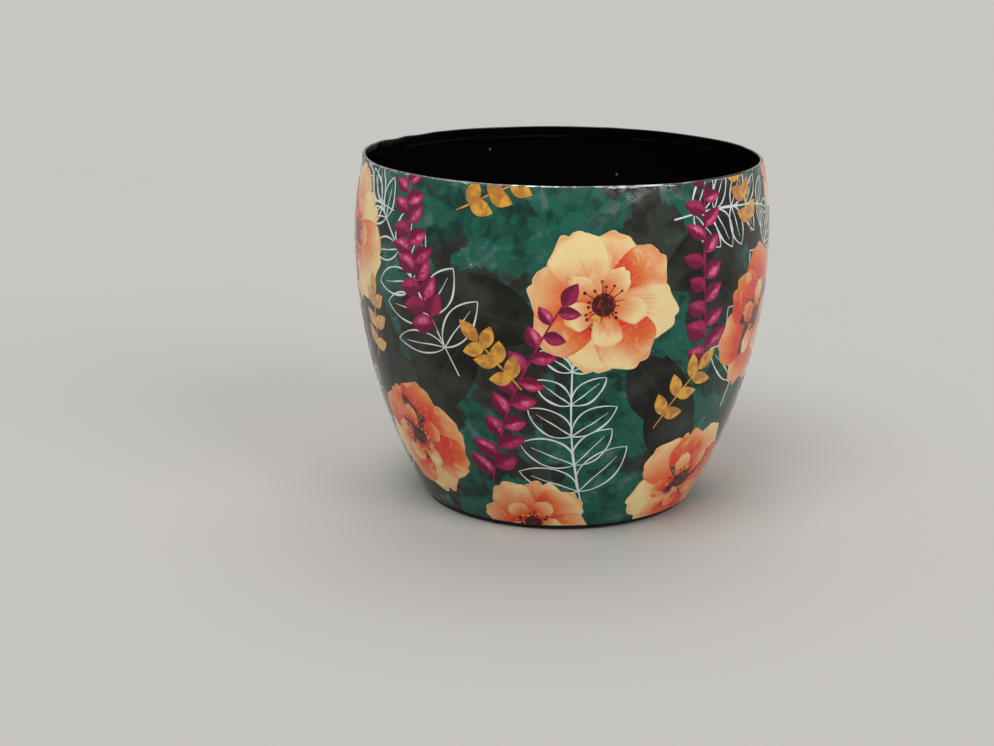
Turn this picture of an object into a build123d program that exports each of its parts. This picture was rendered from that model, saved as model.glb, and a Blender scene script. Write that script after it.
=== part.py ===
from build123d import *
import os
from math import acos, asin, cos, degrees, pi, sin, sqrt

# A printed sheet-iron cachepot: a bellied wall that is hemmed at the rim and turned in at the foot, a pressed
# pan dropped in as its floor, a bead of sealant that makes it hold water, a printed sleeve and rubber feet.
# It stands on its feet at Z = 0 with its axis on Z, and the lap of its sleeve is at the back, on +Y.
# Sections are drawn with X as the distance from the axis and Y as the height, then turned about Z.

# Outer face of the iron wall, in millimetres
BELLY_RADIUS = 89.6
BELLY_HEIGHT = 117.0
SHOULDER_HEIGHT = 34.0
RIM_INSET = 4.2
FOOT_INSET = 30.6

# Sheet iron of the wall and the pan
SHEET = 0.4
BEND_INSIDE = 0.8
HEM_GAP = 0.1
HEM_DEPTH = 4.4
FLANGE_WIDTH = 7.5

# Floor pan
PAN_CLEARANCE = 0.1
PAN_SKIRT = 9.0
PANEL_RAISE = 1.5
PANEL_STEP_WIDTH = 2.2
PANEL_FEET_GAP = 1.5

# Sealant bead over the pan's edge
BEAD_PROUD = 1.3

# Printed sleeve, with its lacquer
GLUE_LINE = 0.1
SLEEVE = 0.3
SLEEVE_FOOT_GAP = 2.7
SLEEVE_RIM_GAP = 0.25
LAP_WIDTH = 6.0

# Rubber feet
FEET_COUNT = 4
PAD_RADIUS = 5.0
PAD_EDGE = 0.5
PAD_STAND = 0.5
PAD_FLANGE_GAP = 1.5


def arc_radius(inset, rise):
    """Radius of an arc that starts upright and has moved in by inset after rise."""
    return (inset**2 + rise**2) / (2 * inset)


# The wall's outer face is two arcs that meet upright at the belly.
UPPER_RADIUS = arc_radius(RIM_INSET, SHOULDER_HEIGHT)
UPPER_CENTRE = Vector(BELLY_RADIUS - UPPER_RADIUS, BELLY_HEIGHT)
LOWER_RADIUS = arc_radius(FOOT_INSET, BELLY_HEIGHT - PAD_STAND)
LOWER_CENTRE = Vector(BELLY_RADIUS - LOWER_RADIUS, BELLY_HEIGHT)

# The hem folds the sheet in and down, and its round fold is the top of the pot.
FOLD_RADIUS = SHEET + HEM_GAP / 2
RIM_ANGLE = degrees(asin((SHOULDER_HEIGHT - FOLD_RADIUS) / (UPPER_RADIUS - FOLD_RADIUS)))
HEM_ANGLE = RIM_ANGLE - degrees(HEM_DEPTH / UPPER_RADIUS)

# The pan lies on the wall's foot flange and stands clear of the wall's inner face.
BEND_OUTSIDE = BEND_INSIDE + SHEET
FLANGE_TOP = PAD_STAND + SHEET
PAN_RADIUS = LOWER_RADIUS - SHEET - PAN_CLEARANCE


def polar(centre, radius, angle):
    """A point about an arc's centre, at an angle in degrees up from the outward direction."""
    turn = angle * pi / 180
    return centre + Vector(radius * cos(turn), radius * sin(turn))


def arc(centre, radius, start, end):
    """An arc about a centre from one angle to another, in degrees."""
    ends = [polar(centre, radius, angle) for angle in (start, (start + end) / 2, end)]
    return ThreePointArc(*ends)


def foot_bend(face_radius, floor):
    """Centre of the outer bend from a flat floor to a face about the lower centre, and the angle it ends at."""
    drop = floor + BEND_OUTSIDE - BELLY_HEIGHT
    reach = face_radius - BEND_OUTSIDE
    return LOWER_CENTRE + Vector(sqrt(reach**2 - drop**2), drop), degrees(asin(drop / reach))


WALL_BEND, WALL_START = foot_bend(LOWER_RADIUS, PAD_STAND)
PAN_BEND, PAN_START = foot_bend(PAN_RADIUS, FLANGE_TOP)
PAN_END = PAN_START + degrees(PAN_SKIRT / PAN_RADIUS)
FLANGE_EDGE = WALL_BEND.X - FLANGE_WIDTH
FEET_RING = FLANGE_EDGE - PAD_FLANGE_GAP - PAD_RADIUS


def turned(outline):
    """The solid made by turning a closed outline once about the pot's axis."""
    return revolve(Plane.XZ * make_face(outline), Axis.Z)


def make_wall():
    """The iron wall, from the edge of its foot flange to the cut edge of its folded hem."""
    flap_back = UPPER_RADIUS - SHEET - HEM_GAP
    flap_front = flap_back - SHEET
    fold = polar(UPPER_CENTRE, UPPER_RADIUS - FOLD_RADIUS, RIM_ANGLE)
    folded = RIM_ANGLE + 180
    return turned([
        Line((FLANGE_EDGE, PAD_STAND), (WALL_BEND.X, PAD_STAND)),
        arc(WALL_BEND, BEND_OUTSIDE, -90, WALL_START),
        arc(LOWER_CENTRE, LOWER_RADIUS, WALL_START, 0),
        arc(UPPER_CENTRE, UPPER_RADIUS, 0, RIM_ANGLE),
        arc(fold, FOLD_RADIUS, RIM_ANGLE, folded),
        arc(UPPER_CENTRE, flap_front, RIM_ANGLE, HEM_ANGLE),
        Line(polar(UPPER_CENTRE, flap_front, HEM_ANGLE), polar(UPPER_CENTRE, flap_back, HEM_ANGLE)),
        arc(UPPER_CENTRE, flap_back, HEM_ANGLE, RIM_ANGLE),
        arc(fold, HEM_GAP / 2, folded, RIM_ANGLE),
        arc(UPPER_CENTRE, UPPER_RADIUS - SHEET, RIM_ANGLE, 0),
        arc(LOWER_CENTRE, LOWER_RADIUS - SHEET, 0, WALL_START),
        arc(WALL_BEND, BEND_INSIDE, WALL_START, -90),
        Line((WALL_BEND.X, FLANGE_TOP), (FLANGE_EDGE, FLANGE_TOP)),
        Line((FLANGE_EDGE, FLANGE_TOP), (FLANGE_EDGE, PAD_STAND)),
    ])


def make_pan():
    """The floor: a pressed pan with a raised panel, seated on the flange, with its skirt up the wall."""
    step_foot = FEET_RING - PAD_RADIUS - PANEL_FEET_GAP
    panel_edge = step_foot - PANEL_STEP_WIDTH
    panel_under = FLANGE_TOP + PANEL_RAISE
    pan_top, panel_top = FLANGE_TOP + SHEET, panel_under + SHEET
    skirt_front = PAN_RADIUS - SHEET
    return turned([
        Line((0, panel_under), (panel_edge, panel_under)),
        Line((panel_edge, panel_under), (step_foot, FLANGE_TOP)),
        Line((step_foot, FLANGE_TOP), (PAN_BEND.X, FLANGE_TOP)),
        arc(PAN_BEND, BEND_OUTSIDE, -90, PAN_START),
        arc(LOWER_CENTRE, PAN_RADIUS, PAN_START, PAN_END),
        Line(polar(LOWER_CENTRE, PAN_RADIUS, PAN_END), polar(LOWER_CENTRE, skirt_front, PAN_END)),
        arc(LOWER_CENTRE, skirt_front, PAN_END, PAN_START),
        arc(PAN_BEND, BEND_INSIDE, PAN_START, -90),
        Line((PAN_BEND.X, pan_top), (step_foot, pan_top)),
        Line((step_foot, pan_top), (panel_edge, panel_top)),
        Line((panel_edge, panel_top), (0, panel_top)),
        Line((0, panel_top), (0, panel_under)),
    ])


def make_bead():
    """The sealant: a round bead over the skirt's top edge, pressed against the wall above it."""
    wall_face = LOWER_RADIUS - SHEET
    skirt_front = PAN_RADIUS - SHEET
    bead_radius = wall_face - skirt_front + BEAD_PROUD
    # The bead is round about the skirt's front edge, and ends where it meets the wall and the skirt.
    rise = (skirt_front**2 + wall_face**2 - bead_radius**2) / (2 * skirt_front * wall_face)
    wall_end = PAN_END + degrees(acos(rise))
    skirt_end = PAN_END - degrees(bead_radius / skirt_front)
    crown = polar(LOWER_CENTRE, skirt_front - bead_radius, PAN_END)
    return turned([
        ThreePointArc(
            polar(LOWER_CENTRE, wall_face, wall_end), crown, polar(LOWER_CENTRE, skirt_front, skirt_end)
        ),
        arc(LOWER_CENTRE, skirt_front, skirt_end, PAN_END),
        Line(polar(LOWER_CENTRE, skirt_front, PAN_END), polar(LOWER_CENTRE, wall_face, PAN_END)),
        arc(LOWER_CENTRE, wall_face, PAN_END, wall_end),
    ])


def film(inner, outer, turn):
    """Film between two distances out from the wall's face, turned about the axis by an angle in degrees."""
    bottom = degrees(asin((PAD_STAND + SLEEVE_FOOT_GAP - BELLY_HEIGHT) / LOWER_RADIUS))
    top = RIM_ANGLE - degrees(SLEEVE_RIM_GAP / UPPER_RADIUS)
    lower_in, lower_out = LOWER_RADIUS + inner, LOWER_RADIUS + outer
    upper_in, upper_out = UPPER_RADIUS + inner, UPPER_RADIUS + outer
    section = make_face([
        arc(LOWER_CENTRE, lower_out, bottom, 0),
        arc(UPPER_CENTRE, upper_out, 0, top),
        Line(polar(UPPER_CENTRE, upper_out, top), polar(UPPER_CENTRE, upper_in, top)),
        arc(UPPER_CENTRE, upper_in, top, 0),
        arc(LOWER_CENTRE, lower_in, 0, bottom),
        Line(polar(LOWER_CENTRE, lower_in, bottom), polar(LOWER_CENTRE, lower_out, bottom)),
    ])
    return revolve(Plane.XZ * section, Axis.Z, turn)


def make_sleeve():
    """The printed sleeve, with its ends lapped up the back."""
    face = GLUE_LINE + SLEEVE
    lap_turn = degrees(LAP_WIDTH / BELLY_RADIUS)
    back = 90
    return film(GLUE_LINE, face, 360) + Rot(0, 0, back - lap_turn / 2) * film(face, face + SLEEVE, lap_turn)


def make_feet():
    """The rubber feet, stuck under the pan just inside the wall's foot flange."""
    pad = Cylinder(PAD_RADIUS, FLANGE_TOP, align=(Align.CENTER, Align.CENTER, Align.MIN))
    pad = fillet(pad.edges().sort_by(Axis.Z)[0], PAD_EDGE)
    step = 360 / FEET_COUNT
    return Compound([Rot(0, 0, (k + 1 / 2) * step) * Pos(FEET_RING, 0, 0) * pad for k in range(FEET_COUNT)])


PIECES = {
    "pot_wall": make_wall,
    "floor_pan": make_pan,
    "seal_bead": make_bead,
    "print_sleeve": make_sleeve,
    "rubber_feet": make_feet,
}

os.makedirs("parts", exist_ok=True)
for name, make in PIECES.items():
    export_step(make(), f"parts/{name}.step")
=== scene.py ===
"""A printed sheet-iron cachepot: iron wall, floor, seal, feet and printed sleeve, on a plain stage.

Lengths are metres in the frame of the solids: the pot stands on Z = 0 with its axis on Z and its front to -Y.
A place on the print is a turn in degrees from the front, towards +X, and a share of the print's height.
The wall's face is unrolled by the length along it from the belly, which is above zero towards the rim.
"""

import math
import random

import bpy
import numpy as np
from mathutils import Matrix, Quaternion, Vector


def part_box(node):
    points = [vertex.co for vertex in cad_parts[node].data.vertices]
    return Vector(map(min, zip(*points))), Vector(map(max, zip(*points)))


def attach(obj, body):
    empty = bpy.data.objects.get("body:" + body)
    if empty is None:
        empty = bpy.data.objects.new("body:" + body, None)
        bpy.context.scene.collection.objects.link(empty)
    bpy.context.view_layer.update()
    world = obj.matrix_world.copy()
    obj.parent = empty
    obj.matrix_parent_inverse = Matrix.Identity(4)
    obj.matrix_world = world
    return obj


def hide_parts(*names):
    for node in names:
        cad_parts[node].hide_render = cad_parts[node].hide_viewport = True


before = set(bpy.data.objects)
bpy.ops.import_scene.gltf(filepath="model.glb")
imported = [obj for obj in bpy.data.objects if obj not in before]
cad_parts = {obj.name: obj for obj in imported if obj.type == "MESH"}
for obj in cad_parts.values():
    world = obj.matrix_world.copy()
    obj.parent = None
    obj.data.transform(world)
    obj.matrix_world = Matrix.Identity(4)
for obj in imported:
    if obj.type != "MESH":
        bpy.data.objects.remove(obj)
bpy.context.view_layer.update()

bl_info = {
    "name": "Printed Cachepot",
    "version": (1, 0, 0),
    "blender": (4, 5, 0),
    "location": "View3D > Sidebar > Cachepot",
    "description": "Builds a sheet-iron cachepot with a printed sleeve, on a plain stage",
    "category": "Mesh",
}

WALL_LOW, WALL_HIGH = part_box("pot_wall")
_, PAN_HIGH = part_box("floor_pan")
SLEEVE_LOW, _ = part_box("print_sleeve")
_, FEET_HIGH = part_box("rubber_feet")
FOOT_RADIUS = 0.005

FULL_TURN = 2 * math.pi
DOWN = -math.pi / 2


def length(name, description, default):
    """A length that a user can change."""
    return bpy.props.FloatProperty(
        name=name, description=description, default=default, min=0, precision=5, unit="LENGTH"
    )


def colour(name, description, red, green, blue):
    """A colour that a user can change, written as it looks on a screen, from 0 to 255."""
    shown = [channel / 255 for channel in (red, green, blue)]
    light = [c / 12.92 if c <= 0.04045 else ((c + 0.055) / 1.055) ** 2.4 for c in shown]
    return bpy.props.FloatVectorProperty(
        name=name, description=description, default=light, size=3, min=0, max=1, subtype="COLOR"
    )


class CachepotSizes(bpy.types.PropertyGroup):
    """Sizes of the pot, from its solids."""

    belly_radius: length("Belly radius", "Widest radius of the iron wall", WALL_HIGH.x)
    pot_height: length("Height", "Top of the rim above the table", WALL_HIGH.z)
    stand: length("Stand", "How far the rubber feet lift the iron", WALL_LOW.z)
    belly_height: length("Belly height", "Height of the widest place", 0.117)
    rim_inset: length("Rim inset", "How far the rim draws in from the belly", 0.0042)
    foot_inset: length("Foot inset", "How far the foot draws in from the belly", 0.0306)
    sheet: length("Sheet", "Thickness of the iron", 0.0004)
    bend_inside: length("Bend", "Inside radius of the bends at the foot", 0.0008)
    hem_gap: length("Hem gap", "Gap inside the folded hem", 0.0001)
    hem_depth: length("Hem depth", "How far the hem is folded down", 0.0044)
    flange_width: length("Flange width", "Flat flange turned in at the foot", 0.0075)
    pan_clearance: length("Pan clearance", "Gap between the pan's skirt and the wall", 0.0001)
    pan_top: length("Skirt height", "Top edge of the pan's skirt", PAN_HIGH.z)
    panel_raise: length("Panel raise", "Height of the pressed panel", 0.0015)
    panel_radius: length("Panel radius", "Radius of the pressed panel", 0.0356)
    panel_step: length("Panel step", "Width of the step round the panel", 0.0022)
    bead_proud: length("Bead", "How far the sealant stands proud of the skirt", 0.0013)
    glue: length("Glue", "Glue line under the sleeve", 0.0001)
    film: length("Film", "Thickness of the printed sleeve with its lacquer", 0.0003)
    sleeve_bottom: length("Sleeve bottom", "Lower edge of the print", SLEEVE_LOW.z)
    sleeve_rim_gap: length("Sleeve rim gap", "Bare fold left above the sleeve", 0.00025)
    lap_width: length("Lap", "Width of the sleeve's overlap at the back", 0.006)
    foot_ring: length("Feet ring", "Radius of the ring of feet", (FEET_HIGH.x - FOOT_RADIUS) * math.sqrt(2))
    foot_radius: length("Foot radius", "Radius of a rubber foot", FOOT_RADIUS)
    foot_edge: length("Foot edge", "Rounding of a rubber foot's edge", 0.0005)


class CachepotColours(bpy.types.PropertyGroup):
    """Colours of the lacquer, the print and the stage."""

    lacquer: colour("Black lacquer", "Inside and foot of the pot", 7, 7, 8)
    # Bare iron, which also stands in as the painted highlight along the rim's fold
    bare_iron: colour("Bare iron", "Rubbed fold of the rim", 186, 190, 188)
    sealant: colour("Sealant", "Bead over the pan's edge", 34, 34, 35)
    rubber: colour("Rubber", "Stick-on feet", 26, 26, 27)
    teal: colour("Teal", "Bright part of the teal wash", 28, 92, 76)
    deep_teal: colour("Deep teal", "Dark part of the teal wash", 15, 50, 44)
    charcoal: colour("Charcoal", "Grey part of the dark wash", 52, 57, 51)
    warm_dark: colour("Warm dark", "Brown part of the dark wash", 38, 36, 33)
    blue_grey: colour("Blue grey", "Odd dabs in the teal wash", 74, 104, 102)
    # Painted highlight: the paler line along the lower edge of the hem inside the pot
    hem_dust: colour("Hem dust", "Dust along the edge of the hem", 46, 48, 43)
    # Painted sheen: grey that stands in for a reflection in the crumpled film under the front of the rim
    lifted_film: colour("Lifted film", "Film that stands off the iron where it is crumpled", 132, 136, 132)
    paper: colour("Paper", "White edge of the cut print and its flecks", 222, 228, 224)
    shadow: colour("Shadow leaf", "Dark leaves behind the flowers", 20, 18, 14)
    cream: colour("Cream", "Tips of the petals", 240, 214, 156)
    peach: colour("Peach", "Middle of the petals", 232, 160, 108)
    orange: colour("Orange", "Lower part of the petals", 226, 112, 54)
    coral: colour("Coral", "Base of the petals", 220, 60, 48)
    seed_brown: colour("Seed brown", "Hearts of the flowers", 62, 28, 22)
    magenta: colour("Magenta", "Leaves of the sprigs", 190, 46, 100)
    plum: colour("Plum", "Shaded leaves and stems of the sprigs", 112, 20, 56)
    pink: colour("Pink", "Lights on the sprigs", 228, 118, 158)
    gold: colour("Gold", "Bright part of the gold leaves", 228, 166, 28)
    old_gold: colour("Old gold", "Dark part of the gold leaves", 182, 112, 18)
    line_white: colour("Line white", "Drawn fronds", 218, 226, 222)
    floor: colour("Floor", "Plain floor of the stage", 176, 174, 170)
    backdrop: colour("Backdrop", "Room beyond the floor, as it is seen", 199, 197, 193)


def sizes():
    return bpy.context.scene.cachepot_sizes


def tint_of(name, times=1.0):
    """A user's colour with full opacity, made paler or darker by times."""
    channels = getattr(bpy.context.scene.cachepot_colours, name)
    return (*(channel * times for channel in channels), 1.0)


# The wall's face

# How far a hand-formed pot is out of round, and how uneven its rim is
OUT_OF_ROUND = 0.00035
RIM_WAVE = 0.00025

# Nicks in the rim, where lacquer and film stand up or are knocked: turn and width in degrees, and height
NICK_DEPTH = 0.0022
NICKS = [
    (-112, 2.6, 0.00018), (-119, 3.0, -0.00022), (-125, 2.4, 0.00020), (-131, 3.2, -0.00016),
    (-138, 2.6, 0.00014), (31, 2.8, -0.00012), (68, 3.0, 0.00012), (104, 2.6, -0.00014),
    (162, 3.0, 0.00012), (-20, 2.6, -0.00010),
]

# Turn and width in degrees of the place where the fold of the rim is fuller, and its swell and depth
FULL_RIM = -98, 17
FULL_RIM_SWELL, FULL_RIM_DEPTH = 0.0009, 0.009

# Creases in the film where it is drawn in at the rim: turn in degrees, slant, length, height and half width
CREASES = [
    (24, -1.8, 0.014, 0.00045, 0.0022), (15, -1.2, 0.010, 0.00022, 0.0014),
    (29, -0.8, 0.009, 0.00020, 0.0012), (5, 0.6, 0.007, 0.00014, 0.0011),
    (0, -0.7, 0.008, 0.00015, 0.0011), (-7, 0.5, 0.007, 0.00013, 0.0011),
    (-15, -0.6, 0.008, 0.00014, 0.0012), (-29, 0.8, 0.009, 0.00014, 0.0014),
    (38, -0.6, 0.008, 0.00014, 0.0013), (57, 0.7, 0.009, 0.00016, 0.0014),
    (79, -0.5, 0.009, 0.00014, 0.0013), (118, 0.8, 0.010, 0.00018, 0.0015),
    (149, -0.6, 0.009, 0.00014, 0.0013), (-58, -0.8, 0.010, 0.00018, 0.0015),
    (-97, 0.7, 0.010, 0.00016, 0.0014), (-131, -0.6, 0.009, 0.00014, 0.0013),
    (-159, 0.6, 0.009, 0.00014, 0.0013),
]

# Brings the top of a crease, whose section down the wall is share * (1 - share)**2, to its height
CREASE_PEAK = 27 / 4

# The crumple under the front of the rim: turn and width in degrees, slant, half width and reach of its fold,
# and how far down the rest of the rim the film is crinkled
CRUMPLE_TURN, CRUMPLE_SPAN = 22, 13
CRUMPLE_SLANT, CRUMPLE_WIDTH, CRUMPLE_REACH = -1.8, 0.0065, 0.015
EDGE_REACH = 0.008


def arc_radius(inset, rise):
    """Radius of an arc that starts upright and has moved in by inset after rise."""
    return (inset**2 + rise**2) / (2 * inset)


def arc_run(centre, radius, start, end, count):
    """Points of an arc about a centre, by angle up from the outward direction."""
    angles = np.linspace(start, end, count)
    return [(centre[0] + radius * math.cos(a), centre[1] + radius * math.sin(a)) for a in angles]


class Wall:
    """The wall's outer face, two arcs that meet upright at the belly, and the fold of its rim."""

    def __init__(self):
        s = sizes()
        self.belly = s.belly_radius, s.belly_height
        self.upper = arc_radius(s.rim_inset, s.pot_height - s.belly_height)
        self.lower = arc_radius(s.foot_inset, s.belly_height - s.stand)
        self.upper_centre = s.belly_radius - self.upper, s.belly_height
        self.lower_centre = s.belly_radius - self.lower, s.belly_height
        self.fold = s.sheet + s.hem_gap / 2
        fold_reach = self.upper - self.fold
        self.rim_angle = math.asin((s.pot_height - s.belly_height - self.fold) / fold_reach)
        self.hem_angle = self.rim_angle - s.hem_depth / self.upper
        self.fold_centre = arc_run(self.upper_centre, fold_reach, self.rim_angle, self.rim_angle, 1)[0]
        self.print_low = self.lower * math.asin((s.sleeve_bottom - s.belly_height) / self.lower)
        self.print_high = self.upper * self.rim_angle - s.sleeve_rim_gap

    def face(self, along, out=0.0):
        """Radius and height of points along the wall's face, at a distance out from it."""
        radius = np.where(along > 0, self.upper, self.lower)
        angle = along / radius
        reach = radius + out
        return self.belly[0] - radius + reach * np.cos(angle), self.belly[1] + reach * np.sin(angle)

    def unrolled(self, radius, height):
        """Length along the face and distance out from it, of points given by radius and height."""
        arc = np.where(height > self.belly[1], self.upper, self.lower)
        inward, rise = radius - self.belly[0] + arc, height - self.belly[1]
        return arc * np.arctan2(rise, inward), np.hypot(inward, rise) - arc

    def height_share(self, share):
        """Length along the face at a share of the print's height."""
        return self.print_low + share * (self.print_high - self.print_low)


def turn_from(turn, place):
    """Turns measured from a place given in degrees, from minus to plus half a turn."""
    return (turn - math.radians(place) + math.pi) % FULL_TURN - math.pi


def near(turn, place, width):
    """One at a place given in degrees, dying away on both sides over a width in degrees."""
    return np.exp(-((turn_from(turn, place) / math.radians(width)) ** 2))


def fade(distance, reach):
    """One at no distance, falling evenly to nothing at a reach."""
    return np.clip(1 - distance / reach, 0, 1)


def ripple(turn, *waves):
    """A sum of waves round the pot, each with its count, its phase and what it is divided by."""
    return sum(np.sin(count * turn + phase) / part for count, phase, part in waves)


def on_wall(turn, radius, height):
    """Points at a turn from the front, a radius and a height, as the hand-formed pot has them."""
    s = sizes()
    rise = np.clip(height / s.pot_height, 0, 1) ** 3
    radius = radius + OUT_OF_ROUND * rise * ripple(turn, (2, 0.6, 2), (3, 2.2, 3), (5, 4.1, 5))
    height = height + RIM_WAVE * rise**2 * ripple(turn, (2, 2.0, 2), (7, 1.0, 4), (11, 5.0, 6))
    top = fade(s.pot_height - height, NICK_DEPTH)
    for place, width, step in NICKS:
        height = height + step * top * near(turn, place, width)
    swollen = FULL_RIM_SWELL * near(turn, *FULL_RIM) * fade(s.pot_height - height, FULL_RIM_DEPTH) ** 2
    radius, height = radius + swollen, height + swollen
    return np.stack([radius * np.sin(turn), -radius * np.cos(turn), height], axis=-1)


def crease_height(wall, turn, along):
    """How far the creases lift the film at places near the rim."""
    below = wall.print_high - along
    lift = np.zeros_like(turn)
    for place, slant, reach, height, width in CREASES:
        aside = (turn_from(turn, place) * wall.belly[0] - slant * below) / width
        share = np.clip(below / reach, 0, 1)
        lift += height * np.exp(-(aside**2)) * CREASE_PEAK * share * (1 - share) ** 2
    return lift


def crinkle_share(wall, turn, along):
    """How crumpled the film is: along the rim, and in a slanting fold under its front. This also places a
    painted grey sheen.
    """
    below = wall.print_high - along
    edge = fade(below, EDGE_REACH) ** 1.5 * (0.12 + 0.8 * near(turn, CRUMPLE_TURN, CRUMPLE_SPAN))
    aside = (turn_from(turn, CRUMPLE_TURN) * wall.belly[0] - CRUMPLE_SLANT * below) / CRUMPLE_WIDTH
    fold = fade(below, CRUMPLE_REACH) ** 0.7 * np.exp(-(aside**2))
    return np.maximum(edge, fold)


# Modelling helpers

MERGE = 1e-7
SMOOTH_ANGLE = math.radians(32)


def deselect():
    if bpy.context.mode != "OBJECT":
        bpy.ops.object.mode_set(mode="OBJECT")
    bpy.ops.object.select_all(action="DESELECT")


def select_only(*pieces):
    deselect()
    for piece in pieces:
        piece.select_set(True)
    bpy.context.view_layer.objects.active = pieces[0]


def points_of(piece):
    flat = np.empty(len(piece.data.vertices) * 3, np.float32)
    piece.data.vertices.foreach_get("co", flat)
    return flat.reshape(-1, 3).astype(float)


def move_points(piece, points):
    piece.data.vertices.foreach_set("co", np.asarray(points, np.float32).ravel())
    piece.data.update()


def polar(piece):
    """Turn from the front, radius and height of each point of a piece."""
    x, y, z = points_of(piece).T
    return np.arctan2(x, -y), np.hypot(x, y), z


def note(piece, name, values):
    """Keeps a number for each point of a piece, for its finish to read."""
    kept = piece.data.attributes.new(name, "FLOAT", "POINT")
    kept.data.foreach_set("value", np.full(len(piece.data.vertices), values, np.float32))


def noted(piece, name):
    values = np.empty(len(piece.data.vertices), np.float32)
    piece.data.attributes[name].data.foreach_get("value", values)
    return values.astype(float)


def volume_of(piece):
    """Volume of a closed piece, below zero where its faces look inward."""
    piece.data.calc_loop_triangles()
    a, b, c = points_of(piece)[np.array([t.vertices for t in piece.data.loop_triangles])].swapaxes(0, 1)
    return float((np.cross(a, b) * c).sum() / 6)


def turned(name, runs, steps):
    """A piece made by turning a closed outline, given as runs of radius and height, about the pot's axis."""
    outline = []
    for point in (p for run in runs for p in run):
        if not outline or math.dist(point, outline[-1]) > MERGE:
            outline.append(point)
    deselect()
    bpy.ops.mesh.primitive_circle_add(vertices=len(outline), fill_type="NOTHING")
    piece = bpy.context.object
    piece.name = piece.data.name = name
    move_points(piece, [(0, -radius, height) for radius, height in outline])
    bpy.ops.object.mode_set(mode="EDIT")
    bpy.ops.mesh.select_all(action="SELECT")
    bpy.ops.mesh.spin(steps=steps, angle=FULL_TURN, center=(0, 0, 0), axis=(0, 0, 1))
    bpy.ops.mesh.select_all(action="SELECT")
    bpy.ops.mesh.remove_doubles(threshold=MERGE)
    bpy.ops.mesh.dissolve_degenerate(threshold=MERGE)
    bpy.ops.mesh.normals_make_consistent(inside=False)
    bpy.ops.object.mode_set(mode="OBJECT")
    if volume_of(piece) < 0:
        piece.data.flip_normals()
    return piece


def dress(piece, material, slot, *nodes):
    """Gives a piece its finish and sets it on the pot, in place of its solids."""
    piece.data.materials.clear()
    piece.data.materials.append(material)
    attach(piece, "root")
    if nodes:
        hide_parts(*nodes)


def finish_piece(piece, material, slot, *nodes):
    """Shades a turned or bevelled piece, and dresses it."""
    select_only(piece)
    bpy.ops.object.shade_smooth_by_angle(angle=SMOOTH_ANGLE)
    dress(piece, material, slot, *nodes)


# Finishes

class Tone:
    """A shader value that Python's operators combine."""

    def __init__(self, finish, socket):
        self.finish, self.socket = finish, socket

    def __add__(self, other):
        return self.finish.math("ADD", self, other)

    def __sub__(self, other):
        return self.finish.math("SUBTRACT", self, other)

    def __rsub__(self, other):
        return self.finish.math("SUBTRACT", other, self)

    def __mul__(self, other):
        return self.finish.math("MULTIPLY", self, other)

    def __gt__(self, other):
        return self.finish.math("GREATER_THAN", self, other)

    def __abs__(self):
        return self.finish.math("ABSOLUTE", self)

    __radd__ = __add__
    __rmul__ = __mul__

    def most(self, other):
        return self.finish.math("MAXIMUM", self, other)

    def ease(self, low, high):
        """Zero below low and one above high, with a smooth step between."""
        settings = {"interpolation_type": "SMOOTHSTEP"}
        inputs = {"Value": self, "From Min": low, "From Max": high}
        return self.finish.node("ShaderNodeMapRange", settings, inputs)


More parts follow.
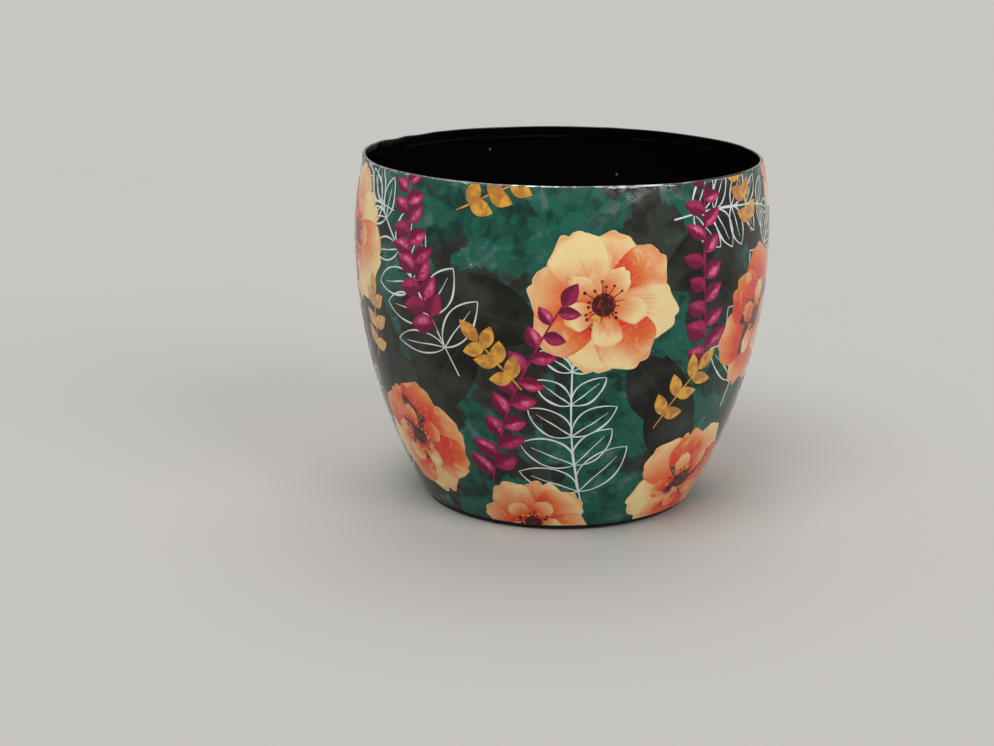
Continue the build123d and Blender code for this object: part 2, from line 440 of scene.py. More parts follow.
class Finish:
    """A material, or a world, whose nodes are written as expressions. A colour may be given by its name."""

    def __init__(self, name, owner=None):
        self.owner = owner or bpy.data.materials.new(name)
        self.owner.use_nodes = True
        self.tree = self.owner.node_tree
        self.place = self.node("ShaderNodeTexCoord", output="Object")

    def node(self, kind, settings=None, inputs=None, output=0):
        """Adds a node, with its settings first and then the values or links of its sockets."""
        made = self.tree.nodes.new(kind)
        for key, value in (settings or {}).items():
            if key == "stops":
                self.set_stops(made.color_ramp, value)
            else:
                setattr(made, key, value)
        for key, value in (inputs or {}).items():
            self.feed(made.inputs[key], value)
        return Tone(self, made.outputs[output])

    def feed(self, socket, value):
        if isinstance(value, Tone):
            self.tree.links.new(value.socket, socket)
        else:
            socket.default_value = tint_of(value) if isinstance(value, str) else value

    def set_stops(self, ramp, stops):
        while len(ramp.elements) < len(stops):
            ramp.elements.new(1.0)
        for element, (position, name) in zip(ramp.elements, stops):
            element.position, element.color = position, tint_of(name)

    def math(self, operation, *values):
        return self.node("ShaderNodeMath", {"operation": operation}, dict(enumerate(values)))

    def number(self, name):
        return self.node("ShaderNodeAttribute", {"attribute_name": name}, None, "Fac")

    def noise(self, scale, detail=2.0, warp=0.0, where=None):
        inputs = {"Vector": where or self.place, "Scale": scale, "Detail": detail, "Distortion": warp}
        return self.node("ShaderNodeTexNoise", None, inputs, "Fac")

    def cells(self, scale, output):
        """Small cells: the distance from the middle of each, or a colour of its own for each."""
        return self.node("ShaderNodeTexVoronoi", None, {"Vector": self.place, "Scale": scale}, output)

    def specks(self, scale, size, share):
        """Round specks: how many to a metre, their size as a share of a cell, and the share kept."""
        chance = self.node("ShaderNodeSeparateColor", None, {"Color": self.cells(scale, "Color")})
        return (1 - self.cells(scale, "Distance").ease(size / 2, size)) * (chance > 1 - share)

    def dabs(self, scale, drift):
        """A value of its own for each brush dab, with edges that wander."""
        inputs = {"Vector": self.place, "Scale": scale * 1.4, "Detail": 3.0}
        stir = self.node("ShaderNodeTexNoise", None, inputs, "Color")
        inputs = {0: stir, 1: (drift, drift, drift), 2: self.place}
        moved = self.node("ShaderNodeVectorMath", {"operation": "MULTIPLY_ADD"}, inputs)
        inputs = {"Vector": moved, "Scale": scale, "Smoothness": 0.3}
        dab = self.node("ShaderNodeTexVoronoi", {"feature": "SMOOTH_F1"}, inputs, "Color")
        return self.node("ShaderNodeSeparateColor", None, {"Color": dab})

    def chart(self):
        """The chart of the shape that a point of the print belongs to, and its places across and along it."""
        chart = self.node("ShaderNodeUVMap", {"uv_map": "UVMap"})
        across = self.node("ShaderNodeSeparateXYZ", None, {"Vector": chart})
        return chart, across, Tone(self, across.socket.node.outputs["Y"])

    def blend(self, amount, below, above):
        """Colour that goes from one to another."""
        return self.node("ShaderNodeMix", {"data_type": "RGBA"}, {"Factor": amount, 6: below, 7: above}, 2)

    def ramp(self, amount, stops):
        """Colour that goes through several, each given by its position and name."""
        return self.node("ShaderNodeValToRGB", {"stops": stops}, {"Fac": amount}, "Color")

    def bump(self, height, depth, strength=1.0, over=None):
        inputs = {"Height": height, "Distance": depth, "Strength": strength}
        return self.node("ShaderNodeBump", None, inputs if over is None else {**inputs, "Normal": over})

    def surface(self, **sockets):
        """Sets the shader's sockets, with underscores for the spaces in their names."""
        shader = self.tree.nodes["Principled BSDF"]
        for key, value in sockets.items():
            name = "Specular IOR Level" if key == "specular" else key.replace("_", " ").title()
            self.feed(shader.inputs[name], value)
        return self.owner


LACQUER_SPECULAR = 0.32
LACQUER_ROUGHNESS = 0.07, 0.16
PRINT_SPECULAR = 0.22
PRINT_ROUGHNESS = 0.07, 0.15


def lacquer_relief(f):
    """The slow flow and fine dust of brushed-on lacquer."""
    return f.bump(f.noise(70, 1.0) + f.noise(420, 1.0) * 0.18, 0.00012, 0.35)


def smudged(f, low, high):
    """Roughness of gloss lacquer with handling marks."""
    return low + (high - low) * f.noise(38, 3.0).ease(0.35, 0.75)


def printed(f, wash, normal=None):
    """The finish of a printed wash under gloss lacquer."""
    return f.surface(
        base_color=wash,
        roughness=smudged(f, *PRINT_ROUGHNESS),
        specular=PRINT_SPECULAR,
        normal=normal or lacquer_relief(f),
    )


def black_lacquer(name):
    """Gloss black lacquer with dust in it, worn through to bright iron on the fold of the rim, which is
    partly a painted highlight.
    """
    f = Finish(name)
    body = f.blend(f.noise(55, 3.0), "lacquer", tint_of("lacquer", 1.7))
    body = f.blend(f.specks(95, 0.07, 0.28) * 0.3, body, "paper")
    # Painted highlight: a paler, broken line along the hem's lower edge, standing in for light caught there
    hem_edge = 1 - abs(f.number("below_rim") - sizes().hem_depth * 1.1).ease(0.0001, 0.0006)
    body = f.blend(hem_edge * f.noise(40, 2.0).ease(0.42, 0.62) * 0.75, body, "hem_dust")
    worn = f.noise(26, 2.0).ease(0.34, 0.5) * (0.3 + 0.7 * f.noise(300, 3.0).ease(0.42, 0.62))
    # Bare iron blended in where worn, pale enough to stand in as a painted highlight on the rim
    rubbed = f.number("rubbed") * worn
    return f.surface(
        base_color=f.blend(rubbed, body, "bare_iron"),
        metallic=rubbed * 0.8,
        roughness=smudged(f, *LACQUER_ROUGHNESS) + rubbed * 0.2 + f.number("dulled") * 0.6,
        specular=LACQUER_SPECULAR,
        normal=lacquer_relief(f),
    )


def sealant_finish():
    f = Finish("sealant")
    return f.surface(
        base_color=f.blend(f.noise(130, 3.0), "sealant", tint_of("sealant", 1.6)),
        roughness=0.38 + 0.2 * f.noise(90, 2.0),
        normal=f.bump(f.noise(260, 3.0), 0.0003, 0.6),
    )


def rubber_finish():
    f = Finish("foot_rubber")
    return f.surface(
        base_color=f.blend(f.noise(300, 3.0), "rubber", tint_of("rubber", 1.9)),
        roughness=0.68 + 0.2 * f.noise(210, 2.0),
        normal=f.bump(f.noise(1400, 2.0), 0.0001, 0.5),
    )


def film_finish():
    """The ground of the print: dabbed teal and charcoal washes with paper flecks, and a grey sheen painted
    where it is crumpled.
    """
    f = Finish("print_ground")
    slow, middle, fine = f.noise(13.0, 2.0, 0.6), f.noise(62, 4.0, 0.4), f.noise(300, 4.0)
    dab, small_dab = f.dabs(115, 0.006), f.dabs(260, 0.003)
    teal_share = (slow + (middle - 0.5) * 0.24 + (dab - 0.5) * 0.18).ease(0.46, 0.54)
    shade = dab * 0.45 + small_dab * 0.3 + middle * 0.25 + (fine - 0.5) * 0.35
    teal = f.ramp(shade, [(0.24, "deep_teal"), (0.56, "teal"), (0.66, "teal"), (0.80, "blue_grey")])
    dark_share = (shade * 0.7 + f.noise(30, 3.0) * 0.3).ease(0.34, 0.64)
    wash = f.blend(teal_share, f.blend(dark_share, "warm_dark", "charcoal"), teal)
    flecks = f.specks(210, 0.09, 0.05).most(f.specks(520, 0.12, 0.03))
    wash = f.blend(flecks * 0.6, wash, "paper")
    crinkled = f.number("crinkled")
    # Painted sheen: grey blended into the crumpled film, standing in for the lamps' reflection in it
    painted_crumple_share = crinkled * f.noise(160, 3.0, 1.2).ease(0.36, 0.6)
    wash = f.blend(painted_crumple_share * 0.6, wash, "lifted_film")
    chips = (f.number("below_rim") + (f.noise(520, 3.0) - 0.5) * 0.0016).ease(0.0001, 0.0004)
    cut = (1 - chips) * f.noise(85, 2.0).ease(0.48, 0.64)
    crinkle = crinkled * (f.cells(270, "Distance") * 0.8 + f.noise(210, 2.0, 1.5) * 1.2)
    return printed(f, f.blend(cut, wash, "paper"), f.bump(crinkle, 0.0008, 0.8, lacquer_relief(f)))


def shadow_leaf_finish():
    f = Finish("print_shadow_leaves")
    _, across, along = f.chart()
    rib = 1 - abs(across - 0.5).ease(0.004, 0.03)
    slope = abs(across - 0.5) * 2.2 - along * 6.0 + 0.1 * f.noise(90, 1.0)
    veins = 1 - f.math("PINGPONG", slope, 0.5).ease(0.02, 0.09)
    mottled = f.blend(f.noise(48, 3.0).ease(0.4, 0.7), "shadow", "charcoal")
    return printed(f, f.blend(rib * 0.5 + veins * 0.12, mottled, "charcoal"))


PETAL_STOPS = [
    (0.0, "seed_brown"), (0.06, "coral"), (0.2, "coral"), (0.37, "orange"), (0.57, "peach"), (0.86, "cream"),
]


def petal_finish():
    """Watercolour petals: cream tips that run through peach and orange into coral, with fine veins."""
    f = Finish("print_petals")
    chart, across, along = f.chart()
    runs = (f.noise(42, 3.0, 0.9) - 0.5) * 0.75 + (f.number("tint") - 0.5) * 0.66 + (across - 0.5) * 0.22
    wash = f.ramp(along * 0.9 + runs, PETAL_STOPS)
    drawn_out = f.node("ShaderNodeMapping", None, {"Vector": chart, "Scale": (24, 1.5, 1)})
    veins = f.noise(1.0, 3.0, where=drawn_out).ease(0.5, 0.7) * (1 - along.ease(0.5, 0.95))
    edge = (abs(across - 0.5) * 2).most(along)
    pooled = (edge.ease(0.86, 0.97) - edge.ease(0.97, 1.0) * 0.6) * f.noise(70, 2.0).ease(0.38, 0.6)
    bloom = f.noise(95, 3.0, 1.5).ease(0.56, 0.66) * f.noise(30, 1.0).ease(0.45, 0.6)
    wash = f.blend(veins * 0.42, wash, "coral")
    wash = f.blend(pooled * 0.55, wash, "orange")
    wash = f.blend(bloom * 0.45, wash, "cream")
    return printed(f, f.blend(f.noise(600, 2.0).ease(0.5, 0.8) * 0.18, wash, "cream"))


def heart_finish():
    f = Finish("print_hearts")
    wash = f.blend(f.number("tint").ease(0.45, 0.55), "seed_brown", "gold")
    return printed(f, f.blend(f.noise(700, 3.0).ease(0.5, 0.7) * 0.5, wash, "coral"))


def sprig_finish():
    """Plum and magenta leaves, each with a shaded half and a pink light."""
    f = Finish("print_sprigs")
    _, across, along = f.chart()
    tint = f.number("tint")
    stir = f.noise(230, 3.0, 0.8) - 0.5
    half = (across + stir * 0.7 + (along - 0.5) * 0.24).ease(0.32, 0.66)
    wash = f.blend(half * (0.4 + 0.6 * tint), "plum", "magenta")
    edge = (abs(across - 0.5) * 2).most(along).ease(0.8, 1.0)
    wash = f.blend(edge * 0.5, wash, "plum")
    streak = 1 - abs(across - 0.66 + stir * 0.3).ease(0.05, 0.22)
    streak = streak * (1 - abs(along - 0.5 + stir * 0.3).ease(0.1, 0.36))
    light = streak * f.noise(420, 2.0).ease(0.34, 0.6) * tint.ease(0.1, 0.45)
    return printed(f, f.blend(light * 0.9, wash, "pink"))


def gold_finish():
    f = Finish("print_gold")
    return f.surface(
        base_color=f.blend(f.noise(240, 4.0, 0.6).ease(0.38, 0.62), "old_gold", "gold"),
        metallic=0.2,
        roughness=0.22 + 0.2 * f.noise(520, 3.0),
        normal=f.bump(f.noise(380, 3.0), 0.0001, 0.5),
        coat_weight=1.0,
        coat_roughness=0.06,
    )


def line_finish():
    f = Finish("print_lines")
    dry = f.noise(560, 3.0).ease(0.6, 0.78) * 0.45
    return printed(f, f.blend(dry, "line_white", "charcoal"))


# The print: shapes laid out flat, then wrapped round the wall

INK_DEPTH = 0.00018

# How far apart inks lie under the lacquer, and the lowest layer of each
STACK = 0.000006
LEAF_LAYER, LINE_LAYER, PETAL_LAYER, HEART_LAYER, SPRIG_LAYER, GOLD_LAYER = 1, 5, 7, 16, 19, 24


class Place:
    """Where a shape lies: a turn from the front, a length along the wall, and a tilt to the right."""

    def __init__(self, turn, along, tilt=0.0, x=0.0, y=0.0):
        self.turn, self.along, self.tilt, self.x, self.y = turn, along, tilt, x, y

    def part(self, x, y, tilt=0.0):
        """A place that is offset and tilted from this one."""
        px, py = self.laid(x, y)
        return Place(self.turn, self.along, self.tilt + tilt, px, py - self.along)

    def laid(self, x, y):
        """Flat places of points given from here, with y up the wall."""
        c, s = math.cos(self.tilt), math.sin(self.tilt)
        return self.x + x * c + y * s, self.along + self.y - x * s + y * c


def place_on(wall, turn, share, tilt):
    """A place on the print, from a turn in degrees, a share of its height and a tilt in degrees."""
    return Place(math.radians(turn), wall.height_share(share), math.radians(tilt))


def petal(reach, width, notch, wave):
    """A broad rounded petal with a small notch in its tip."""
    def shape(u, v):
        spread = (0.2 + 0.8 * np.sin(v**0.8 * math.pi / 2)) * np.sqrt(1 - (0.9 * v) ** 6)
        ripples = 0.035 * np.sin(2.5 * u + 5 * v + wave) * v
        dip = 0.16 * u**2 * v**3 + notch * np.exp(-((u / 0.16) ** 2)) * v**8
        across = width / 2 * u * spread + width * ripples
        return across, reach * (v - dip + 0.02 * np.sin(6 * u + wave) * v**5)
    return shape


def leaf(reach, width, bend):
    """A pointed leaf whose midrib bends to one side."""
    def shape(u, v):
        spread = 0.02 + 0.98 * np.sin(math.pi * np.clip(v, 0, 1) ** 0.85) ** 0.9
        return width / 2 * u * spread + bend * reach * v**2, reach * v
    return shape


def dot(radius):
    """A round dot, from a square grid."""
    def shape(u, v):
        v = 2 * v - 1
        return radius * u * np.sqrt(1 - v**2 / 2), radius * v * np.sqrt(1 - u**2 / 2)
    return shape


def bent_stem(reach, bend):
    """Control points of a stem that rises and bends to one side."""
    return [(0, 0), (0, reach / 3), (bend * reach / 3, reach * 2 / 3), (bend * reach, reach)]


def curve_at(controls, v):
    """Point of a cubic curve through four control points."""
    a, b, c, d = (np.asarray(p, float)[:, None] for p in controls)
    return a * (1 - v) ** 3 + 3 * b * v * (1 - v) ** 2 + 3 * c * v**2 * (1 - v) + d * v**3


def stem_part(place, stem, v, tilt=0.0):
    """The place of something that grows from a stem, at a share of its length."""
    x, y = curve_at(stem, np.array([v]))[:, 0]
    step = 0.01
    dx, dy = (curve_at(stem, np.array([v + step])) - curve_at(stem, np.array([v - step])))[:, 0]
    return place.part(x, y, math.atan2(dx, dy) + tilt)


def stroke(controls, width, start_share=0.6, end_share=0.5, hand=0.0):
    """A drawn line along a cubic curve, thickest in its middle, with a wobble of its own for each hand."""
    def shape(u, v):
        step = 1e-3
        middle = curve_at(controls, v)
        ahead = curve_at(controls, v + step) - curve_at(controls, v - step)
        ahead = ahead / np.hypot(*ahead)
        opening = start_share + (1 - start_share) * 2 * v
        closing = end_share + (1 - end_share) * 2 * (1 - v)
        press = np.where(v < 0.5, opening, closing) * (1 + 0.22 * np.sin(13 * v + 7 * hand))
        aside = press * u * width / 2 + 0.22 * width * np.sin(9 * v + 11 * hand) * np.sin(math.pi * v)
        return middle[0] + ahead[1] * aside, middle[1] - ahead[0] * aside
    return shape


class Plate:
    """Flat shapes of one ink, laid out before they are wrapped round the wall."""

    templates = {}

    def __init__(self, name, wall, lift):
        self.name, self.wall, self.lift, self.pieces = name, wall, lift, []

    def template(self, columns, rows):
        """A unit grid, added once and copied for each shape."""
        if (columns, rows) not in Plate.templates:
            deselect()
            bpy.ops.mesh.primitive_grid_add(x_subdivisions=columns, y_subdivisions=rows, size=1)
            grid = bpy.context.object
            Plate.templates[columns, rows] = grid.data.copy()
            bpy.data.objects.remove(grid)
        return Plate.templates[columns, rows]

    def stamp(self, shape, columns, rows, place, tint=0.5, raised=0.0):
        """Adds one shape at a place, with its own tint and how far it lies over its neighbours."""
        piece = bpy.data.objects.new(self.name, self.template(columns, rows).copy())
        bpy.context.scene.collection.objects.link(piece)
        x, y, _ = points_of(piece).T
        flat_x, flat_y = place.laid(*shape(2 * x, y + 0.5))
        move_points(piece, np.stack([flat_x, flat_y, np.zeros_like(flat_x)], axis=-1))
        note(piece, "turn", place.turn)
        note(piece, "lift", self.lift + raised)
        note(piece, "tint", tint)
        self.pieces.append(piece)

    def trimmed(self):
        """Joins the shapes and trims them at the print's lower and upper edges."""
        select_only(*self.pieces)
        if len(self.pieces) > 1:
            bpy.ops.object.join()
        piece = bpy.context.object
        piece.name = piece.data.name = self.name
        for edge, outward in ((self.wall.print_low, -1), (self.wall.print_high, 1)):
            bpy.ops.object.mode_set(mode="EDIT")
            bpy.ops.mesh.select_all(action="SELECT")
            bpy.ops.mesh.bisect(plane_co=(0, edge, 0), plane_no=(0, outward, 0), clear_outer=True)
            bpy.ops.object.mode_set(mode="OBJECT")
        return piece

    def wrapped(self):
        """The shapes round the wall, as thin closed inks under the lacquer."""
        piece = self.trimmed()
        x, along, _ = points_of(piece).T
        face = sizes().glue + sizes().film
        turn = noted(piece, "turn") + x / self.wall.face(along, face)[0]
        lift = noted(piece, "lift")
        for name in ("turn", "lift"):
            piece.data.attributes.remove(piece.data.attributes[name])

        def laid(turn, along):
            out = face + lift + crease_height(self.wall, turn, along)
            return on_wall(turn, *self.wall.face(along, out))

        step = 1e-4
        here = laid(turn, along)
        normals = np.cross(laid(turn + step, along) - here, laid(turn, along + step) - here)
        normals /= np.linalg.norm(normals, axis=1)[:, None]
        move_points(piece, here)
        tops = len(piece.data.polygons)
        select_only(piece)
        depth = piece.modifiers.new("Depth", "SOLIDIFY")
        depth.thickness, depth.offset = INK_DEPTH, -1.0
        bpy.ops.object.modifier_apply(modifier=depth.name)
        self.smooth_under_lacquer(piece, normals, tops)
        return piece

    def smooth_under_lacquer(self, piece, normals, tops):
        """Gives the top of each shape the wall's own normals, so that one lacquer seems to cover all."""
        mesh = piece.data
        mesh.polygons.foreach_set("use_smooth", np.ones(len(mesh.polygons), bool))
        split = np.empty((len(mesh.loops), 3))
        for polygon in mesh.polygons:
            loops = slice(polygon.loop_start, polygon.loop_start + polygon.loop_total)
            top = polygon.index < tops
            split[loops] = normals[list(polygon.vertices)] if top else polygon.normal
        mesh.normals_split_custom_set(split.tolist())


# The pot's own pieces

WALL_STEPS = 288
SLEEVE_STEPS = 480

# Turn and width in degrees of the place where the rim has kept its lacquer, with neither bare iron nor
# painted highlight
LACQUERED_RIM = -124, 15

# How far down the fuller fold a sheen is painted, and how bright that leaves it
FOLD_SHEEN_DEPTH, FOLD_SHEEN_SHARE = 0.003, 0.5

# How far the cut edge of the hem wanders, and how lumpy the bead is
HEM_WANDER = 0.00022
BEAD_LUMPS = 0.00022

FEET_COUNT = 4
FOOT_SIDES = 56

# Height of the band under the rim whose mesh is fine enough for creases
FINE_BAND = 0.014


def foot_bend(wall, face_radius, floor):
    """Centre of the bend between a floor and a lower face, and the angle at which the face begins."""
    s = sizes()
    outside = s.bend_inside + s.sheet
    drop = floor + outside - s.belly_height
    reach = face_radius - outside
    centre = wall.lower_centre[0] + math.sqrt(reach**2 - drop**2), s.belly_height + drop
    return centre, math.asin(drop / reach)


class CACHEPOT_OT_body(bpy.types.Operator):
    """Turns the iron wall, with its folded hem and its foot flange"""

    bl_idname = "cachepot.body"
    bl_label = "Iron Wall"
    bl_options = {"REGISTER", "UNDO"}

    def execute(self, context):
        s, wall = sizes(), Wall()
        bend, start = foot_bend(wall, wall.lower, s.stand)
        flange_edge = bend[0] - s.flange_width
        rim, hem = wall.rim_angle, wall.hem_angle
        flap_back = wall.upper - s.sheet - s.hem_gap
        piece = turned("iron_wall", [
            [(flange_edge, s.stand)],
            arc_run(bend, s.bend_inside + s.sheet, DOWN, start, 8),
            arc_run(wall.lower_centre, wall.lower, start, 0, 30),
            arc_run(wall.upper_centre, wall.upper, 0, rim, 12),
            arc_run(wall.fold_centre, wall.fold, rim, rim + math.pi, 11),
            arc_run(wall.upper_centre, flap_back - s.sheet, rim, hem, 6),
            arc_run(wall.upper_centre, flap_back, hem, rim, 6),
            arc_run(wall.fold_centre, s.hem_gap / 2, rim + math.pi, rim, 5),
            arc_run(wall.upper_centre, wall.upper - s.sheet, rim, 0, 12),
            arc_run(wall.lower_centre, wall.lower - s.sheet, 0, start, 30),
            arc_run(bend, s.bend_inside, start, DOWN, 8),
            [(flange_edge, s.stand + s.sheet)],
        ], WALL_STEPS)
        self.wear(piece, wall)
        finish_piece(piece, black_lacquer("black_lacquer"), "black_lacquer", "pot_wall")
        return {"FINISHED"}

    def wear(self, piece, wall):
        """Notes where the lacquer is worn to bright iron, partly as a painted highlight and sheen, or dulled,
        and makes the wall as uneven as hand work.
        """
        s = sizes()
        turn, radius, height = polar(piece)
        below = s.pot_height - height
        note(piece, "below_rim", below)
        # Bare iron on the outer top of the fold, placed where the rim's highlight falls: partly wear, partly
        # a painted highlight
        outer_half = np.clip((radius - wall.fold_centre[0]) / wall.fold * 2 + 0.7, 0, 1)
        rubbed = outer_half * np.clip(1.5 - below / wall.fold, 0, 1) * (1 - near(turn, *LACQUERED_RIM))
        # Painted sheen: the fuller fold is made paler towards bare iron, inside and out, standing in for a
        # reflection at grazing angles
        painted_fold_sheen = near(turn, *FULL_RIM) * fade(below, FOLD_SHEEN_DEPTH) * FOLD_SHEEN_SHARE
        note(piece, "rubbed", np.maximum(rubbed, painted_fold_sheen))
        note(piece, "dulled", np.clip((s.sleeve_bottom - height) / s.sheet + 1, 0, 1))
        along, out = wall.unrolled(radius, height)
        cut = fade(np.abs(along - wall.upper * wall.hem_angle), s.hem_depth / 5) * (out < -s.sheet * 1.1)
        height = height + cut * HEM_WANDER * ripple(turn, (9, 0, 1), (23, 1, 1), (41, 2, 2))
        move_points(piece, on_wall(turn, radius, height))


class CACHEPOT_OT_floor(bpy.types.Operator):
    """Turns the pressed floor pan"""

    bl_idname = "cachepot.floor"
    bl_label = "Floor Pan"
    bl_options = {"REGISTER", "UNDO"}

    def execute(self, context):
        s, wall = sizes(), Wall()
        under, skirt_back = s.stand + s.sheet, wall.lower - s.sheet - s.pan_clearance
        bend, start = foot_bend(wall, skirt_back, under)
        end = math.asin((s.pan_top - s.belly_height) / (skirt_back - s.sheet))
        panel = [(0, s.panel_raise), (s.panel_radius / 2, s.panel_raise)]
        for t in np.linspace(0, 1, 9):
            panel.append((s.panel_radius + s.panel_step * t, s.panel_raise * (1 - t * t * (3 - 2 * t))))
        piece = turned("floor_pan_pressed", [
            [(r, under + z) for r, z in panel],
            arc_run(bend, s.bend_inside + s.sheet, DOWN, start, 8),
            arc_run(wall.lower_centre, skirt_back, start, end, 5),
            arc_run(wall.lower_centre, skirt_back - s.sheet, end, start, 5),
            arc_run(bend, s.bend_inside, start, DOWN, 8),
            [(r, under + s.sheet + z) for r, z in reversed(panel)],
        ], WALL_STEPS // 2)
        note(piece, "below_rim", s.pot_height - points_of(piece)[:, 2])
        note(piece, "rubbed", 0)
        note(piece, "dulled", 0)
        finish_piece(piece, black_lacquer("floor_lacquer"), "floor_lacquer", "floor_pan")
        return {"FINISHED"}


class CACHEPOT_OT_seal(bpy.types.Operator):
    """Turns the bead of sealant, uneven as it is run by hand"""

    bl_idname = "cachepot.seal"
    bl_label = "Sealant Bead"
    bl_options = {"REGISTER", "UNDO"}

    def execute(self, context):
        s, wall = sizes(), Wall()
        wall_face = wall.lower - s.sheet
        skirt = wall_face - s.pan_clearance - s.sheet
        edge = math.asin((s.pan_top - s.belly_height) / skirt)
        bead = s.bead_proud + s.pan_clearance + s.sheet
        rise = math.acos((skirt**2 + wall_face**2 - bead**2) / (2 * skirt * wall_face))
        middle = arc_run(wall.lower_centre, skirt, edge, edge, 1)[0]
        # The round face of the bead, from the wall over its crown to the skirt
        first = math.asin(min(1, (wall_face - skirt) / bead))
        face = arc_run(middle, bead, edge + math.pi / 2 - first, edge + math.pi * 3 / 2, 14)
        piece = turned("seal_bead_run", [
            face,
            arc_run(wall.lower_centre, skirt, edge - bead / skirt, edge, 3),
            arc_run(wall.lower_centre, wall_face, edge, edge + rise, 4),
        ], WALL_STEPS)
        turn, radius, height = polar(piece)
        lumps = BEAD_LUMPS * np.clip((middle[0] - radius) / bead, 0, 1)
        radius = radius - lumps * ripple(turn, (17, 0, 1), (31, 2, 2), (53, 4, 3))
        height = height + lumps * ripple(turn, (13, 1, 1))
        move_points(piece, on_wall(turn, radius, height))
        finish_piece(piece, sealant_finish(), "sealant", "seal_bead")
        return {"FINISHED"}


class CACHEPOT_OT_feet(bpy.types.Operator):
    """Models one stick-on rubber foot and copies it round the floor"""

    bl_idname = "cachepot.feet"
    bl_label = "Rubber Feet"
    bl_options = {"REGISTER", "UNDO"}

    def execute(self, context):
        foot = self.model_foot()
        shape, ring = points_of(foot), sizes().foot_ring
        feet = []
        for k in range(FEET_COUNT):
            angle = (k + 0.5) * FULL_TURN / FEET_COUNT
            copy = bpy.data.objects.new("stick_on_feet", foot.data.copy())
            bpy.context.scene.collection.objects.link(copy)
            move_points(copy, shape + ring * np.array([math.cos(angle), math.sin(angle), 0]))
            feet.append(copy)
        bpy.data.objects.remove(foot)
        select_only(*feet)
        bpy.ops.object.join()
        piece = bpy.context.object
        piece.name = piece.data.name = "stick_on_feet"
        finish_piece(piece, rubber_finish(), "foot_rubber", "rubber_feet")
        return {"FINISHED"}

    def model_foot(self):
        """A foot on the axis, with the edge that it stands on rounded."""
        s = sizes()
        depth = s.stand + s.sheet
        deselect()
        bpy.ops.mesh.primitive_cylinder_add(
            vertices=FOOT_SIDES, radius=s.foot_radius, depth=depth, location=(0, 0, depth / 2)
        )
        foot = bpy.context.object
        bpy.ops.object.transform_apply(location=True)
        bpy.ops.object.mode_set(mode="EDIT")
        bpy.ops.mesh.select_all(action="DESELECT")
        bpy.ops.object.mode_set(mode="OBJECT")
        for polygon in foot.data.polygons:
            polygon.select = polygon.normal.z < -0.5
        bpy.ops.object.mode_set(mode="EDIT")
        bpy.ops.mesh.bevel(offset=s.foot_edge, segments=4, affect="EDGES")
        bpy.ops.object.mode_set(mode="OBJECT")
        return foot


class CACHEPOT_OT_sleeve(bpy.types.Operator):
    """Turns the printed sleeve and lays its overlap up the back"""

    bl_idname = "cachepot.sleeve"
    bl_label = "Printed Sleeve"
    bl_options = {"REGISTER", "UNDO"}

    def execute(self, context):
        s, wall = sizes(), Wall()
        fine_from = wall.print_high - FINE_BAND
        plain = np.linspace(wall.print_low, fine_from, 46)
        fine = np.linspace(fine_from, wall.print_high, 19)[1:]
        back = np.linspace(wall.print_high, wall.print_low, 40)
        piece = turned("print_ground", [
            list(zip(*wall.face(np.concatenate([plain, fine]), s.glue + s.film))),
            list(zip(*wall.face(back, s.glue))),
        ], SLEEVE_STEPS)
        self.crease(piece, wall)
        finish = film_finish()
        finish_piece(piece, finish, "printed_film", "print_sleeve")
        self.lay_lap(wall, finish)
        return {"FINISHED"}

    def crease(self, piece, wall):
        """Adds the creases at the rim to the outer face."""
        s = sizes()
        turn, radius, height = polar(piece)
        along, out = wall.unrolled(radius, height)
        out = out + crease_height(wall, turn, along) * (out > s.glue + s.film / 2)
        note(piece, "below_rim", wall.print_high - along)
        note(piece, "crinkled", crinkle_share(wall, turn, along))
        move_points(piece, on_wall(turn, *wall.face(along, out)))

    def lay_lap(self, wall, finish):
        """The end of the sheet that laps over the other, a strip up the back."""
        s = sizes()
        reach = wall.print_high - wall.print_low

        def strip(u, v):
            return u * s.lap_width / 2, v * reach

        plate = Plate("print_lap", wall, s.film)
        plate.stamp(strip, 4, 110, Place(math.pi, wall.print_low))
        piece = plate.wrapped()
        along, _ = wall.unrolled(*polar(piece)[1:])
        note(piece, "below_rim", wall.print_high - along)
        note(piece, "crinkled", 0)
        dress(piece, finish, "printed_film")


# The print's motifs

SEED = 7

# Turn in degrees, share of the print's height, length, width and tilt in degrees of each dark leaf
SHADOW_LEAVES = [
    (-6, 0.62, 0.066, 0.030, -70), (24, 0.74, 0.060, 0.026, 62), (18, 0.56, 0.052, 0.026, 148),
    (-44, 0.34, 0.058, 0.026, 28), (-64, 0.22, 0.050, 0.024, -100), (40, 0.20, 0.056, 0.026, -28),
    (60, 0.22, 0.054, 0.026, 40), (-70, 0.68, 0.056, 0.026, 160), (-88, 0.84, 0.052, 0.024, -60),
    (62, 0.62, 0.060, 0.028, -66), (84, 0.46, 0.056, 0.026, 130), (-98, 0.38, 0.060, 0.028, 50),
    (-118, 0.30, 0.050, 0.024, -70), (104, 0.28, 0.056, 0.026, -40), (112, 0.72, 0.056, 0.026, 170),
    (128, 0.84, 0.050, 0.022, 70), (-122, 0.68, 0.054, 0.026, 120), (-142, 0.84, 0.046, 0.022, -40),
    (146, 0.36, 0.052, 0.024, 150), (142, 0.56, 0.048, 0.022, -50), (-150, 0.24, 0.052, 0.024, 20),
]
LEAF_BEND = 0.14

